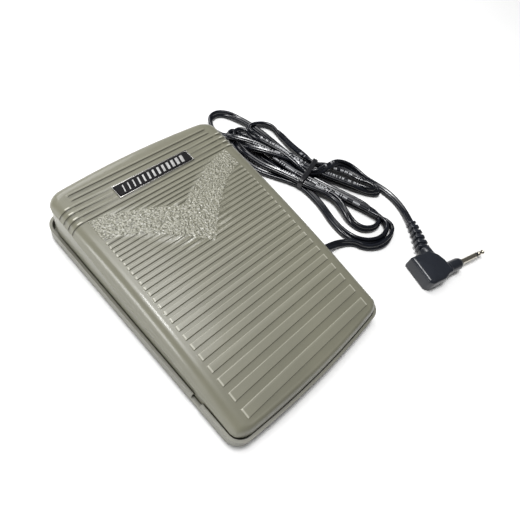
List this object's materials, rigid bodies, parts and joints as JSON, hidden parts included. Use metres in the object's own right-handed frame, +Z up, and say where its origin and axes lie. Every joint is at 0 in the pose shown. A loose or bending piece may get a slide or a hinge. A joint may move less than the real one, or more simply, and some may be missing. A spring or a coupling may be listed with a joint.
{
  "type": "sewing machine pedal",
  "caption": "Foot pedal for a sewing machine: a ribbed treadle hinged in a base tray, geared to a speed sensor, with a flat cord and a jack plug.",
  "frame": {"origin": "on the floor, under the middle of the base tray's footprint", "axes": "+Y towards the toe (high) end, +X to the user's right, +Z up"},
  "size_m": [0.214, 0.2098, 0.0355],
  "materials": {
    "cover_plastic": "satin moulded plastic",
    "tray_plastic": "satin moulded plastic",
    "foot_rubber": "matte",
    "steel": "zinc plated",
    "spring_steel": "drawn wire",
    "nameplate_metal": "bright",
    "nameplate_black": "printed panel",
    "gear_plastic": "acetal",
    "component_black": "moulded",
    "board_green": "solder mask",
    "terminal_green": "moulded",
    "resistor_body": "lacquer",
    "wire_red": "insulation",
    "cord_black": "glossy flexible PVC",
    "plug_black": "glossy moulded PVC",
    "plug_metal": "nickel plated"
  },
  "bodies": {
    "base": {"base_tray": "tray_plastic", "rubber_feet": "foot_rubber", "hinge_rod": "steel", "hinge_clips": "steel", "heel_stop_pads": "foot_rubber", "toe_stop_bumpers": "foot_rubber", "return_spring_left": "spring_steel", "return_spring_right": "spring_steel", "potentiometer_body": "component_black", "potentiometer_nut": "steel", "potentiometer_bracket": "steel", "bracket_screws": "steel", "circuit_board": "board_green", "board_screws": "steel", "terminal_block": "terminal_green", "capacitor": "component_black", "transistor": "component_black", "resistors": "resistor_body", "sensor_leads": "wire_red", "cord_grommet": "plug_black", "cord_clamp": "component_black", "clamp_screws": "steel", "cord_inner": "cord_black", "cord_cores": "wire_red", "cord_exit_run": "cord_black", "cord_hank": "cord_black", "cord_tie": "cord_black", "cord_free_end": "cord_black", "plug_strain_relief": "plug_black", "plug_body": "plug_black", "plug_sleeve": "plug_metal", "plug_ring": "plug_black", "plug_tip": "plug_metal"},
    "treadle": {"treadle_cover": "cover_plastic", "nameplate_frame": "nameplate_metal", "nameplate_insert": "nameplate_black", "rack_sector": "gear_plastic", "sector_screws": "steel"},
    "wiper": {"pinion": "gear_plastic", "potentiometer_shaft": "steel"}
  },
  "joints": [
    {"name": "treadle_hinge", "type": "hinge", "parent": "base", "child": "treadle", "pos_m": [0, -0.05, 0.008], "axis": [-1, 0, 0], "range_deg": [0, 2.4], "stiffness_Nm_per_rad": 12, "springref_deg": -5.73, "deforming": ["return_spring_left", "return_spring_right"]},
    {"name": "wiper_spin", "type": "hinge", "parent": "base", "child": "wiper", "pos_m": [0, 0.06499, 0.015], "axis": [-1, 0, 0], "range_deg": [-56, 1]}
  ],
  "couplings": [
    {"joint": "wiper_spin", "follows": "treadle_hinge", "ratio": -23}
  ]
}
